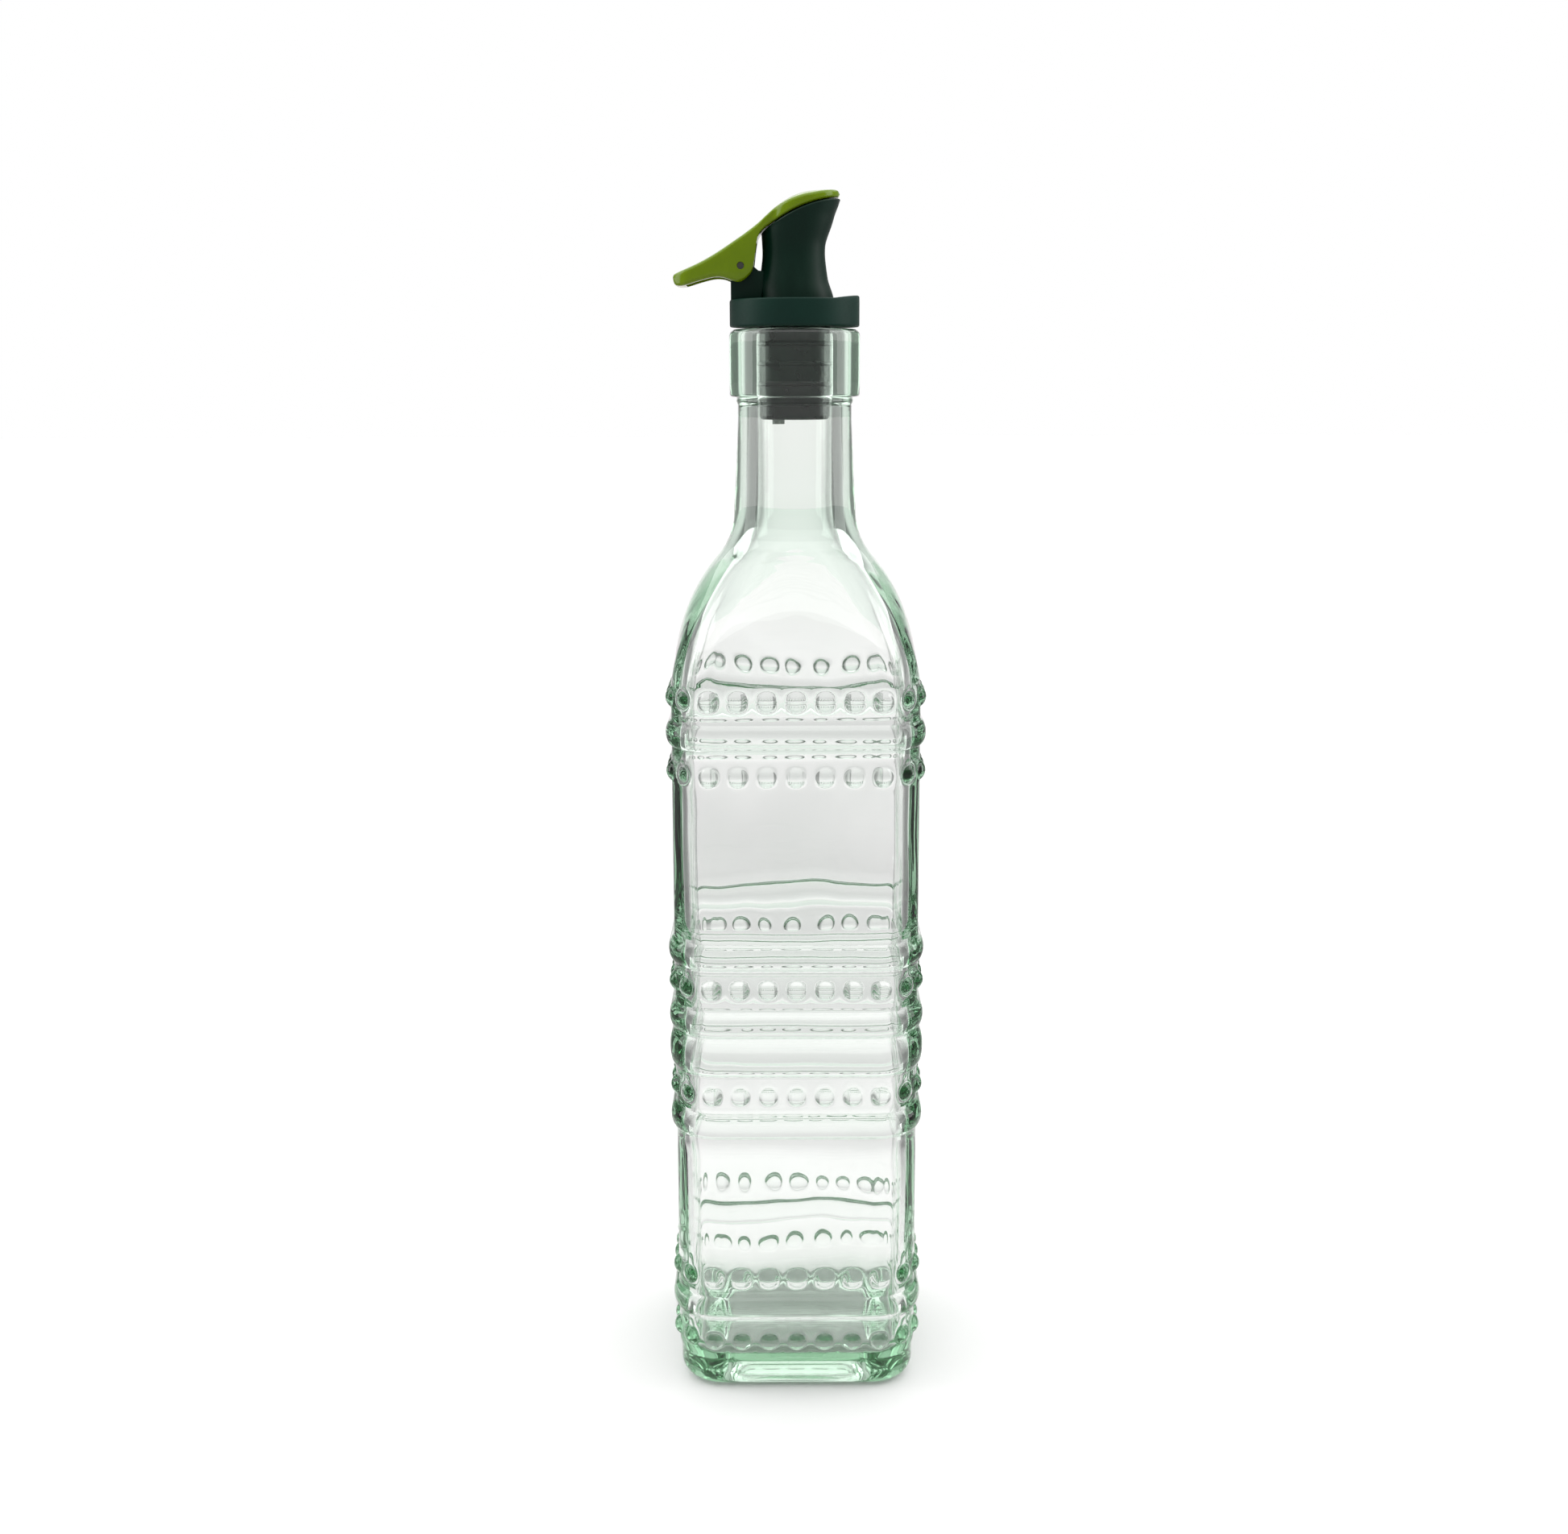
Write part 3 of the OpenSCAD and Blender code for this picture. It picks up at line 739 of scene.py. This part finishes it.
# --- Air tube -----------------------------------------------------------------------------
# Thin drawn tube of clear polypropylene, pushed down beside the pouring channel, which lets air
# back into the bottle. It keeps the shape that it was designed with.
# Drawn plastic is milky, with a waxy surface and faint lines along its length.
milky, tree, out = new_material("drawn_clear_polypropylene")
place = add_node(tree, "ShaderNodeTexCoord").outputs["Object"]
stretch = add_node(tree, "ShaderNodeMapping", Vector=place, Scale=(1, 1, 0.04))
drawn = add_node(tree, "ShaderNodeTexNoise", Vector=stretch.outputs[0], Scale=1 / (0.4 * mm),
                 Detail=2.0)
colour = add_node(tree, "ShaderNodeValToRGB", _0=drawn.outputs["Fac"])
colour.color_ramp.elements[0].color = linear("C9D1CB")
colour.color_ramp.elements[1].color = linear("E2E7E2")
line = add_node(tree, "ShaderNodeBump", Height=drawn.outputs["Fac"], Strength=0.2,
                Distance=0.02 * mm)
surface = add_node(tree, "ShaderNodeBsdfPrincipled", Base_Color=colour.outputs[0], Roughness=0.28,
                   IOR=1.49, Normal=line.outputs[0])
surface.inputs["Transmission Weight"].default_value = 0.5
tree.links.new(surface.outputs[0], out.inputs["Surface"])
tube_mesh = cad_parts["air_tube"].data
tube_mesh.materials.clear()
tube_mesh.materials.append(milky)

# --- Hinge pin ----------------------------------------------------------------------------
# Drawn stainless wire, cut to length and pressed through the bracket. The lever turns on its
# ends. It keeps the shape that it was designed with.
# Drawn steel has fine lines along the wire and a greyish shine.
wire, tree, out = new_material("drawn_stainless_wire")
place = add_node(tree, "ShaderNodeTexCoord").outputs["Object"]
stretch = add_node(tree, "ShaderNodeMapping", Vector=place, Scale=(1, 0.05, 1))
drawn = add_node(tree, "ShaderNodeTexNoise", Vector=stretch.outputs[0], Scale=1 / (0.12 * mm),
                 Detail=3.0)
dull = add_node(tree, "ShaderNodeMapRange", _0=drawn.outputs["Fac"], _1=0.3, _2=0.7, _3=0.22,
                _4=0.4)
score = add_node(tree, "ShaderNodeBump", Height=drawn.outputs["Fac"], Strength=0.3,
                 Distance=0.01 * mm)
surface = add_node(tree, "ShaderNodeBsdfPrincipled", Roughness=dull.outputs[0], Metallic=1.0,
                   Normal=score.outputs[0])
surface.inputs["Base Color"].default_value = linear("5E605C")
tree.links.new(surface.outputs[0], out.inputs["Surface"])
pin_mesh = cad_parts["hinge_pin"].data
pin_mesh.materials.clear()
pin_mesh.materials.append(wire)

# --- Flip lever ---------------------------------------------------------------------------
# Glossy olive ABS, one moulding: a thumb tail that is hollow underneath, two ears on the pin,
# and a round lid that follows the curve of the mouth. It snaps over the ends of the pin.
lever_half = 6 * mm
ear_in = 4.2 * mm
lever_skin = 1.8 * mm
pin_hole_r = 0.86 * mm
lid_x = 1.9 * mm
lid_r = 8.8 * mm
lid_gap = 0.35 * mm
crown = 0.55 * mm
# Upper and lower edge of each section, from the tail to the tip of the lid
stations = [((-28.95, 5.25), (-28.95, 5.0)), ((-28.7, 5.9), (-28.75, 3.9)),
            ((-27.9, 6.4), (-28.0, 3.25)), ((-25.8, 7.35), (-26.0, 3.25)),
            ((-22.8, 8.7), (-22.6, 4.25)), ((-19.8, 10.3), (-19.2, 5.05)),
            ((-17.0, 12.0), (-16.8, 4.95)), ((-14.4, 13.7), (-14.7, 4.2)),
            ((-12.2, 15.15), (-13.0, 4.0)), ((-10.8, 16.15), (-11.4, 4.85)),
            ((-9.7, 16.95), (-10.1, 6.4)), ((-8.8, 17.65), (-9.55, 8.6)),
            ((-8.0, 18.3), (-9.25, 11.5)), ((-7.2, 19.0), (-8.7, 14.2)),
            ((-6.2, 19.9), (-7.4, 16.0)), ((-4.6, 21.3), (-5.4, None)),
            ((-2.4, 22.8), (-3.0, None)), ((-0.2, 24.0), (0, None)),
            ((2.6, 24.85), (3.0, None)), ((5.6, 25.15), (6.0, None)),
            ((8.2, 25.2), (8.5, None)), ((9.8, 25.1), (9.9, None)), ((10.45, 24.8), (10.45, None)),
            ((10.7, 24.3), (10.7, 24.1))]


def along(points, s):
    """Smooth curve through points, at s spans from its start."""
    k = min(int(s), len(points) - 2)
    t = s - k
    p0, p1, p2, p3 = [points[min(max(i, 0), len(points) - 1)] for i in range(k - 1, k + 3)]
    return (p1 * 2 + (p2 - p0) * t + (p0 * 2 - p1 * 5 + p2 * 4 - p3) * t * t
            + (p1 * 3 - p0 - p2 * 3 + p3) * t ** 3) / 2


def lever_width(x):
    """Half width of the lever seen from above: rounded tail, straight arm, round lid."""
    tail = lever_half * (1 - 0.5 * max(0, (-24 * mm - x) / (5 * mm)) ** 2.4)
    lid = math.sqrt(max(0, lid_r ** 2 - (x - lid_x) ** 2))
    if x > lid_x:
        return max(lid, 1.2 * mm)
    return max(tail, lid) if abs(tail - lid) > 0.5 * mm else (tail + lid) / 2 + 0.12 * mm


upper = [Vector(top) * mm for top, _ in stations]
lower = [Vector((x * mm, z * mm if z else roller_z(x * mm, lid_gap) - disc_top))
         for _, (x, z) in stations]
section = []
for u, v, start in ((1, 1, 0), (-1, 1, 90), (-1, -1, 180), (1, -1, 270)):
    for a in (0, 22.5, 45, 67.5, 90):
        a = math.radians(start + a)
        section.append((u, v, math.cos(a), math.sin(a)))
    if u == v:
        section += [(u * s, v, 0, v) for s in (0.78, 0.5, 0.2, -0.2, -0.5, -0.78)]
    else:
        section += [(u, v * s, u, 0) for s in (0.5, 0, -0.5)]
per_span = 4
long_steps = (len(stations) - 1) * per_span
body = bmesh.new()
bmesh.ops.create_grid(body, x_segments=long_steps, y_segments=len(section), size=1)
for v in body.verts:
    s = round((v.co.x + 1) / 2 * long_steps) / per_span
    u, w, across, rise = section[round((v.co.y + 1) / 2 * len(section)) % len(section)]
    top, bottom = along(upper, s), along(lower, s)
    half = (top - bottom).length / 2
    wide = lever_width((top.x + bottom.x) / 2)
    bend = min(0.85 * mm, half * 0.98, wide * 0.9)
    y = u * (wide - bend) + across * bend
    lift = w * (half - bend) + rise * bend
    lift -= crown * (y / lever_half) ** 2 * 0.5 * (1 + lift / half) * min(1, half / (1.5 * mm))
    spot = (top + bottom) / 2 + (top - bottom).normalized() * lift
    v.co = (spot.x, y, disc_top + spot.y)
bmesh.ops.remove_doubles(body, verts=body.verts, dist=0.002 * mm)
bmesh.ops.holes_fill(body, edges=[e for e in body.edges if e.is_boundary])
bmesh.ops.recalc_face_normals(body, faces=body.faces)

channel = [along(upper, s) - Vector((0, lever_skin)) for s in (3, 3.5, 4, 5, 6, 7, 8, 9, 10, 11)]
channel = [Vector((p.x, disc_top + p.y)) for p in channel]
channel += [Vector((-9 * mm, disc_top + 14.4 * mm)), Vector((-9 * mm, disc_top - 2 * mm)),
            Vector((channel[0].x, disc_top - 2 * mm))]
hollow = slab(channel, -ear_in, ear_in)
pin_hole = bmesh.new()
bmesh.ops.create_cone(pin_hole, cap_ends=True, segments=40, radius1=pin_hole_r,
                      radius2=pin_hole_r, depth=3 * lever_half,
                      matrix=Matrix.Translation((hinge_x, 0, hinge_z))
                      @ Matrix.Rotation(math.pi / 2, 4, "X"))


def carved(shape, cutters, name, crease):
    """A finished piece made from a shape, with each cutter shape taken out of it."""
    rough = finished(shape, name + "_uncut")
    tools = [finished(cutter, name + "_cutter") for cutter in cutters]
    for tool in tools:
        cut = rough.modifiers.new("cut", "BOOLEAN")
        cut.operation = "DIFFERENCE"
        cut.solver = "EXACT"
        cut.object = tool
    graph = bpy.context.evaluated_depsgraph_get()
    done = bmesh.new()
    done.from_mesh(rough.evaluated_get(graph).to_mesh())
    for used in [rough] + tools:
        bpy.data.objects.remove(used)
    bmesh.ops.remove_doubles(done, verts=done.verts, dist=0.002 * mm)
    return finished(done, name, crease)


lever = carved(body, [hollow, pin_hole], "olive_flip_lever", 40)

# Glossy ABS in olive green: a polished mould, slight flow clouds, and fine rubbing marks where
# thumbs and cloths go, which only dull the shine.
gloss, tree, out = new_material("polished_olive_abs")
place = add_node(tree, "ShaderNodeTexCoord").outputs["Object"]
cloud = add_node(tree, "ShaderNodeTexNoise", Vector=place, Scale=1 / (6 * mm), Detail=3.0)
rub = add_node(tree, "ShaderNodeTexNoise", Vector=place, Scale=1 / (2.5 * mm), Detail=2.0)
colour = add_node(tree, "ShaderNodeValToRGB", _0=cloud.outputs["Fac"])
colour.color_ramp.elements[0].position = 0.3
colour.color_ramp.elements[0].color = linear("749203")
colour.color_ramp.elements[1].position = 0.75
colour.color_ramp.elements[1].color = linear("7B9A04")
dull = add_node(tree, "ShaderNodeMapRange", _0=rub.outputs["Fac"], _1=0.35, _2=0.75, _3=0.14,
                _4=0.22)
wave_mark = add_node(tree, "ShaderNodeBump", Height=cloud.outputs["Fac"], Strength=0.12,
                     Distance=0.15 * mm)
surface = add_node(tree, "ShaderNodeBsdfPrincipled", Base_Color=colour.outputs[0],
                   Roughness=dull.outputs[0], IOR=1.53, Normal=wave_mark.outputs[0])
surface.inputs["Specular IOR Level"].default_value = 0.3
tree.links.new(surface.outputs[0], out.inputs["Surface"])
lever.data.materials.append(gloss)
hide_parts("flip_lever")
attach(lever, "lever")

# --- Lid seal -----------------------------------------------------------------------------
# Round pad of soft silicone, clipped into the lid, which closes the mouth. Its edge is rounded.
seal_r = 6.3 * mm
seal_gap = 0.1 * mm
seal_t = 1.0 * mm
side = [(0, 0, 0), (2 * mm, 0, 0), (4 * mm, 0, 0), (seal_r, 0, 0.35 * mm),
        (seal_r, seal_t, 0.2 * mm), (4 * mm, seal_t, 0), (2 * mm, seal_t, 0), (0, seal_t, 0)]
pad = spun(softened(side), lid_x, 64)
for v in pad.verts:
    v.co.z = roller_z(v.co.x, seal_gap + v.co.z)
seal = finished(pad, "soft_lid_seal", 60)

# Silicone: dull, slightly dusty, with a faint lighter bloom.
silicone, tree, out = new_material("moulded_silicone")
place = add_node(tree, "ShaderNodeTexCoord").outputs["Object"]
dust = add_node(tree, "ShaderNodeTexNoise", Vector=place, Scale=1 / (1.5 * mm), Detail=5.0)
colour = add_node(tree, "ShaderNodeValToRGB", _0=dust.outputs["Fac"])
colour.color_ramp.elements[0].position = 0.4
colour.color_ramp.elements[0].color = linear("222A25")
colour.color_ramp.elements[1].position = 0.8
colour.color_ramp.elements[1].color = linear("323B35")
skin_mark = add_node(tree, "ShaderNodeBump", Height=dust.outputs["Fac"], Strength=0.15,
                     Distance=0.03 * mm)
surface = add_node(tree, "ShaderNodeBsdfPrincipled", Base_Color=colour.outputs[0], Roughness=0.55,
                   IOR=1.41, Normal=skin_mark.outputs[0])
tree.links.new(surface.outputs[0], out.inputs["Surface"])
seal.data.materials.append(silicone)
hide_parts("lid_seal")
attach(seal, "lever")
